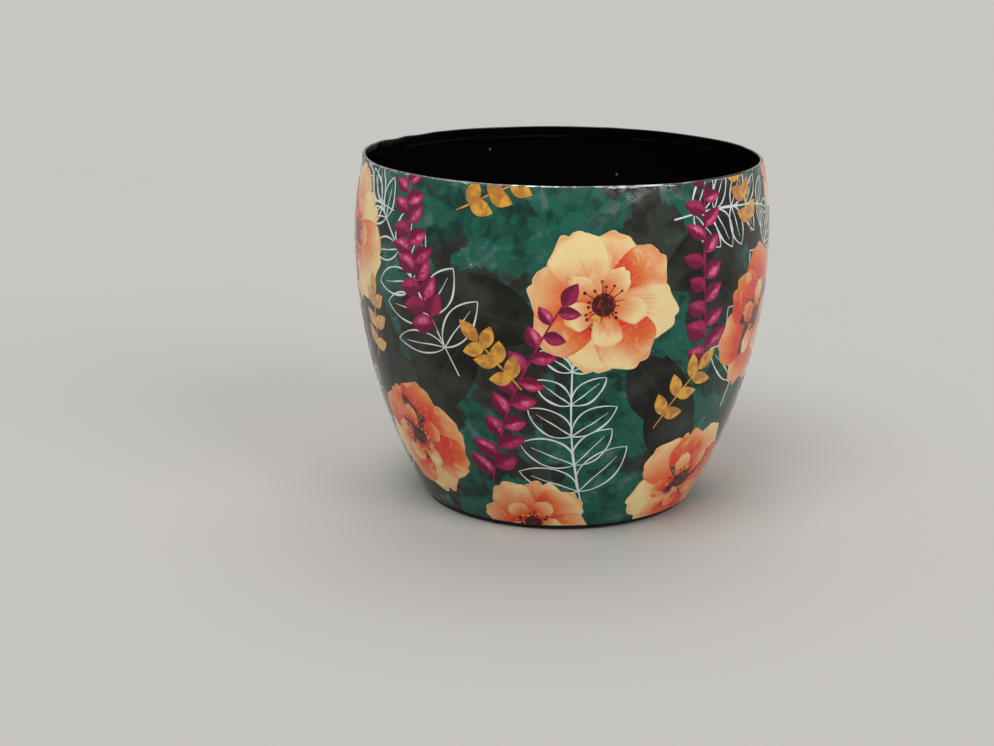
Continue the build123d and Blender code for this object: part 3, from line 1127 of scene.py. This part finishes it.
# Turn, share of the height, width across, tilt and warmth of each flower
BLOOMS = [
    (9, 0.70, 0.064, 12, 0.42), (-52, 0.25, 0.054, -20, 0.66), (48, 0.12, 0.060, 35, 0.74),
    (-76, 0.80, 0.060, 5, 0.45), (67, 0.59, 0.066, -15, 0.74), (-11, 0.01, 0.048, 10, 0.58),
    (-106, 0.32, 0.058, 40, 0.40), (112, 0.20, 0.056, -30, 0.62), (116, 0.84, 0.058, 20, 0.48),
    (-130, 0.78, 0.062, -10, 0.60), (152, 0.48, 0.060, 15, 0.52), (-150, 0.14, 0.050, 0, 0.70),
    (86, 0.98, 0.044, 10, 0.78),
]

# Petals in a ring, their reach and breadth as shares, lowest layer, layers, tilt in radians and grid
PETAL_RINGS = [
    (8, 1.0, 0.86, 0, 4, 0, (16, 20)),
    (5, 0.56, 0.66, 4, 5, 4, (8, 12)),
]
STAMEN_COUNT = 17
HEART_SHARE = 0.15

# Turn, share of the height, length, tilt and bend of each sprig
SPRIGS = [
    (-24, 0.15, 0.092, 12, 0.20), (42, 0.50, 0.084, -16, 0.24), (-36, 0.60, 0.064, -30, 0.26),
    (90, 0.10, 0.078, -22, 0.20), (-88, 0.36, 0.080, 18, -0.22), (98, 0.62, 0.074, 18, -0.24),
    (-128, 0.36, 0.076, -12, 0.20), (134, 0.16, 0.080, 14, -0.22), (-162, 0.46, 0.070, 6, 0.10),
    (167, 0.08, 0.062, -8, 0.14),
]
SPRIG_PAIRS = 8
SPRIG_STEM = 0.0014
SPRIG_LEAF = 0.0128
SPRIG_TIP = 0.011, 0.0066

# Turn, share of the height, length and tilt of each spray of gold
SPRAYS = [
    (-30, 0.93, 0.030, 64), (27, 0.33, 0.032, 28), (58, 0.84, 0.030, -14), (-12, 0.46, 0.028, -40),
    (-66, 0.46, 0.030, 20), (92, 0.36, 0.030, -24), (128, 0.56, 0.028, 36), (-104, 0.62, 0.030, 8),
    (-147, 0.40, 0.028, -22), (156, 0.80, 0.028, -12), (74, 0.05, 0.024, 44), (-166, 0.26, 0.026, 20),
    (168, 0.60, 0.028, 4), (-168, 0.90, 0.026, -8),
]
SPRAY_PAIRS = 3
SPRAY_STEM = 0.0009
SPRAY_LENGTHS = 0.0095, 0.0115
SPRAY_WIDTHS = 0.0056, 0.0068
SPRAY_TIP = 0.0115, 0.0062

# Turn, share of the height, length, tilt and bend of each drawn frond
FRONDS = [
    (8, 0.05, 0.080, -16, 0.16), (-30, 0.48, 0.080, -24, -0.18), (56, 0.34, 0.080, 8, 0.18),
    (-74, 0.02, 0.072, -18, 0.16), (28, 0.91, 0.060, 80, 0.20), (96, 0.02, 0.076, 12, -0.16),
    (-100, 0.52, 0.072, 24, 0.18), (132, 0.36, 0.072, 18, 0.16), (-134, 0.06, 0.074, -18, 0.18),
    (-52, 0.90, 0.056, -80, -0.18), (152, 0.62, 0.060, -8, 0.16), (-160, 0.62, 0.058, 10, -0.14),
]
FROND_PAIRS = 5
LINE_WIDTH = 0.0009


class CACHEPOT_OT_shadow_leaves(bpy.types.Operator):
    """Prints the dark leaves behind the flowers"""

    bl_idname = "cachepot.shadow_leaves"
    bl_label = "Shadow Leaves"
    bl_options = {"REGISTER", "UNDO"}

    def execute(self, context):
        wall = Wall()
        plate = Plate("print_shadow_leaves", wall, LEAF_LAYER * STACK)
        for k, (turn, share, reach, width, tilt) in enumerate(SHADOW_LEAVES):
            shape = leaf(reach, width, LEAF_BEND if k % 2 else -LEAF_BEND)
            plate.stamp(shape, 14, 34, place_on(wall, turn, share, tilt), raised=(k % 4) * STACK)
        dress(plate.wrapped(), shadow_leaf_finish(), "printed_film")
        return {"FINISHED"}


class CACHEPOT_OT_blooms(bpy.types.Operator):
    """Prints the flowers, petal over petal, and their hearts"""

    bl_idname = "cachepot.blooms"
    bl_label = "Flowers"
    bl_options = {"REGISTER", "UNDO"}

    def execute(self, context):
        wall, rng = Wall(), random.Random(SEED)
        petals = Plate("print_petals", wall, PETAL_LAYER * STACK)
        hearts = Plate("print_hearts", wall, HEART_LAYER * STACK)
        for turn, share, width, tilt, warmth in BLOOMS:
            place = place_on(wall, turn, share, tilt)
            self.print_petals(petals, place, width / 2, warmth, rng)
            self.print_heart(hearts, place, width / 2, rng)
        dress(petals.wrapped(), petal_finish(), "printed_film")
        dress(hearts.wrapped(), heart_finish(), "printed_film")
        return {"FINISHED"}

    def print_petals(self, plate, place, reach, warmth, rng):
        for count, size, breadth, lowest, layers, turned_by, grid in PETAL_RINGS:
            for k in range(count):
                tilt = k * FULL_TURN / count + rng.uniform(-0.12, 0.12) + turned_by
                own = reach * size * rng.uniform(0.9, 1.06)
                width = own * breadth * rng.uniform(0.9, 1.12)
                shape = petal(own, width, rng.uniform(0.02, 0.08), rng.uniform(0, 6))
                tint = 1 - warmth + rng.uniform(-0.42, 0.42)
                plate.stamp(shape, *grid, place.part(0, 0, tilt), tint, (lowest + k % layers) * STACK)

    def print_heart(self, plate, place, reach, rng):
        plate.stamp(dot(reach * HEART_SHARE), 8, 8, place, 0.0)
        for k in range(STAMEN_COUNT):
            ray = place.part(0, 0, k * FULL_TURN / STAMEN_COUNT + rng.uniform(-0.1, 0.1))
            out = reach * rng.uniform(0.17, 0.30)
            plate.stamp(stroke(bent_stem(out, 0), LINE_WIDTH * 0.5, 1.0, 0.6), 1, 4, ray, 0.0, STACK)
            tip = rng.uniform(0.0005, 0.0009)
            plate.stamp(dot(tip), 4, 4, ray.part(0, out), rng.random(), 2 * STACK)


class CACHEPOT_OT_sprigs(bpy.types.Operator):
    """Prints the magenta sprigs"""

    bl_idname = "cachepot.sprigs"
    bl_label = "Sprigs"
    bl_options = {"REGISTER", "UNDO"}

    def execute(self, context):
        wall, rng = Wall(), random.Random(SEED + 1)
        plate = Plate("print_sprigs", wall, SPRIG_LAYER * STACK)
        for turn, share, reach, tilt, bend in SPRIGS:
            place, stem = place_on(wall, turn, share, tilt), bent_stem(reach, bend)
            plate.stamp(stroke(stem, SPRIG_STEM), 2, 40, place, 0.0)
            for k in range(SPRIG_PAIRS):
                v = (k + 0.6) / (SPRIG_PAIRS + 0.4)
                size = SPRIG_LEAF * (1 - 0.35 * v)
                for side in (-1, 1):
                    lean = side * math.radians(rng.uniform(38, 70))
                    shape = leaf(size * rng.uniform(0.86, 1.14), size * rng.uniform(0.6, 0.8), side * 0.12)
                    grow = stem_part(place, stem, min(0.97, v + 0.03 * side), lean)
                    plate.stamp(shape, 4, 10, grow, rng.random(), (1 + k % 2 + side) * STACK)
            plate.stamp(leaf(*SPRIG_TIP, 0.0), 4, 10, stem_part(place, stem, 0.97), rng.random(), 4 * STACK)
        dress(plate.wrapped(), sprig_finish(), "printed_film")
        return {"FINISHED"}


class CACHEPOT_OT_sprays(bpy.types.Operator):
    """Prints the sprays of gold leaves"""

    bl_idname = "cachepot.sprays"
    bl_label = "Gold Sprays"
    bl_options = {"REGISTER", "UNDO"}

    def execute(self, context):
        wall, rng = Wall(), random.Random(SEED + 2)
        plate = Plate("print_gold", wall, GOLD_LAYER * STACK)
        for turn, share, reach, tilt in SPRAYS:
            place, stem = place_on(wall, turn, share, tilt), bent_stem(reach, rng.uniform(-0.2, 0.2))
            plate.stamp(stroke(stem, SPRAY_STEM), 1, 16, place)
            for k in range(SPRAY_PAIRS):
                v = (k + 0.7) / SPRAY_PAIRS * 0.9
                for side in (-1, 1):
                    lean = side * math.radians(rng.uniform(38, 56))
                    shape = leaf(rng.uniform(*SPRAY_LENGTHS), rng.uniform(*SPRAY_WIDTHS), side * 0.08)
                    plate.stamp(shape, 4, 10, stem_part(place, stem, v, lean), raised=(k + 1) * STACK)
            plate.stamp(leaf(*SPRAY_TIP, 0.0), 4, 10, stem_part(place, stem, 0.95), raised=STACK)
        dress(plate.wrapped(), gold_finish(), "printed_film")
        return {"FINISHED"}


class CACHEPOT_OT_fronds(bpy.types.Operator):
    """Prints the fronds drawn in white line"""

    bl_idname = "cachepot.fronds"
    bl_label = "Line Fronds"
    bl_options = {"REGISTER", "UNDO"}

    def execute(self, context):
        wall, rng = Wall(), random.Random(SEED + 3)
        plate = Plate("print_lines", wall, LINE_LAYER * STACK)
        for turn, share, reach, tilt, bend in FRONDS:
            place, stem = place_on(wall, turn, share, tilt), bent_stem(reach, bend)
            plate.stamp(stroke(stem, LINE_WIDTH, hand=rng.random()), 1, 60, place)
            for k in range(FROND_PAIRS):
                v = (k + 0.9) / (FROND_PAIRS + 0.5)
                size = reach * (0.36 - 0.16 * v)
                for side in (-1, 1):
                    lean = side * math.radians(rng.uniform(44, 60))
                    grow = stem_part(place, stem, v, lean)
                    self.draw_leaf(plate, grow, size * rng.uniform(0.9, 1.1), side, rng)
            self.draw_leaf(plate, stem_part(place, stem, 0.98), reach * 0.2, 1, rng)
        dress(plate.wrapped(), line_finish(), "printed_film")
        return {"FINISHED"}

    def draw_leaf(self, plate, place, reach, side, rng):
        """The outline and midrib of one leaf."""
        tip = side * reach * 0.08, reach
        for edge in (-1, 1):
            half = reach * rng.uniform(0.2, 0.32) * edge
            outline = [(0, 0), (half * 1.3, reach * 0.25), (half, reach * 0.75), tip]
            width = LINE_WIDTH * rng.uniform(0.7, 1.0)
            plate.stamp(stroke(outline, width, hand=rng.random()), 1, 22, place, raised=STACK)
        rib = [(0, 0), (0, reach / 4), (side * reach * 0.04, reach / 2), (side * reach * 0.06, reach * 0.8)]
        plate.stamp(stroke(rib, LINE_WIDTH * 0.6, 0.9, 0.3, rng.random()), 1, 16, place, raised=STACK)


# The stage

# The camera as the pot is seen: place, downward pitch and roll, and focal length on a full-width sensor
CAMERA_PLACE = (-0.0276, -0.7822, 0.2702)
CAMERA_PITCH = math.radians(15.57)
CAMERA_ROLL = math.radians(0.43)
CAMERA_LENS = 65.84
SENSOR_WIDTH = 36.0
FLOOR_SIZE = 100.0

# Soft lamps like wide windows: name, turn from the front and height in degrees, width in degrees and strength
LAMPS = [
    ("key_lamp", -32, 60, 36, 1.6),
    ("fill_lamp", 46, 31, 32, 0.95),
    ("top_lamp", 165, 68, 44, 1.1),
]
LAMP_DISTANCE = 3.0
WORLD_STRENGTH = 0.42
SEEING_RAYS = ("Camera", "Glossy", "Transmission")


class CACHEPOT_OT_stage(bpy.types.Operator):
    """Sets the floor, the soft lamps and the camera"""

    bl_idname = "cachepot.stage"
    bl_label = "Stage"
    bl_options = {"REGISTER", "UNDO"}

    def execute(self, context):
        self.lay_floor()
        for name, *angles, strength in LAMPS:
            self.hang_lamp(name, *map(math.radians, angles), strength)
        self.light_world()
        self.set_camera()
        bpy.context.scene.view_settings.view_transform = "Standard"
        return {"FINISHED"}

    def lay_floor(self):
        deselect()
        bpy.ops.mesh.primitive_plane_add(size=FLOOR_SIZE)
        floor = bpy.context.object
        floor.name = "stage_floor"
        f = Finish("stage_floor")
        floor.data.materials.append(f.surface(
            base_color=f.blend(f.noise(3.0, 2.0), "floor", tint_of("floor", 0.96)),
            roughness=0.85,
            specular=0.15,
        ))

    def hang_lamp(self, name, turn, height, width, strength):
        level = math.cos(height)
        away = Vector((level * math.sin(turn), -level * math.cos(turn), math.sin(height)))
        bpy.ops.object.light_add(type="SUN", location=away * LAMP_DISTANCE)
        lamp = bpy.context.object
        lamp.name = lamp.data.name = name
        lamp.data.angle, lamp.data.energy = width, strength
        lamp.rotation_mode = "QUATERNION"
        lamp.rotation_quaternion = away.to_track_quat("Z", "Y")

    def light_world(self):
        """Lights the pot evenly, and shows the room beyond the floor in the floor's tone."""
        f = Finish("soft_room", bpy.data.worlds.new("soft_room"))
        rays = [f.node("ShaderNodeLightPath", output=f"Is {ray} Ray") for ray in SEEING_RAYS]
        light = (WORLD_STRENGTH, WORLD_STRENGTH, WORLD_STRENGTH, 1.0)
        room = f.blend(rays[0].most(rays[1]).most(rays[2]), light, "backdrop")
        f.feed(f.tree.nodes["Background"].inputs["Color"], room)
        bpy.context.scene.world = f.owner

    def set_camera(self):
        bpy.ops.object.camera_add(location=CAMERA_PLACE)
        camera = bpy.context.object
        camera.name = camera.data.name = "front_camera"
        camera.rotation_mode = "QUATERNION"
        level = Quaternion((1, 0, 0), math.pi / 2 - CAMERA_PITCH)
        camera.rotation_quaternion = level @ Quaternion((0, 0, 1), CAMERA_ROLL)
        camera.data.sensor_width, camera.data.lens = SENSOR_WIDTH, CAMERA_LENS
        camera.data.clip_start, camera.data.clip_end = 0.01, 2 * FLOOR_SIZE
        bpy.context.scene.camera = camera


# The add-on

OPERATORS = (
    CACHEPOT_OT_body, CACHEPOT_OT_floor, CACHEPOT_OT_seal, CACHEPOT_OT_feet, CACHEPOT_OT_sleeve,
    CACHEPOT_OT_shadow_leaves, CACHEPOT_OT_blooms, CACHEPOT_OT_sprigs, CACHEPOT_OT_sprays, CACHEPOT_OT_fronds,
    CACHEPOT_OT_stage,
)


class CACHEPOT_PT_panel(bpy.types.Panel):
    """Lists the steps that build the cachepot"""

    bl_idname = "CACHEPOT_PT_panel"
    bl_label = "Cachepot"
    bl_space_type = "VIEW_3D"
    bl_region_type = "UI"
    bl_category = "Cachepot"

    def draw(self, context):
        for step in OPERATORS:
            self.layout.operator(step.bl_idname)
        for group in (context.scene.cachepot_sizes, context.scene.cachepot_colours):
            box = self.layout.box()
            for name in group.__annotations__:
                box.prop(group, name)


CLASSES = (CachepotSizes, CachepotColours, *OPERATORS, CACHEPOT_PT_panel)


def register():
    for item in CLASSES:
        bpy.utils.register_class(item)
    bpy.types.Scene.cachepot_sizes = bpy.props.PointerProperty(type=CachepotSizes)
    bpy.types.Scene.cachepot_colours = bpy.props.PointerProperty(type=CachepotColours)


def unregister():
    del bpy.types.Scene.cachepot_colours
    del bpy.types.Scene.cachepot_sizes
    for item in reversed(CLASSES):
        bpy.utils.unregister_class(item)


def main():
    register()
    for step in OPERATORS:
        group, name = step.bl_idname.split(".")
        getattr(getattr(bpy.ops, group), name)()


if __name__ == "__main__":
    main()
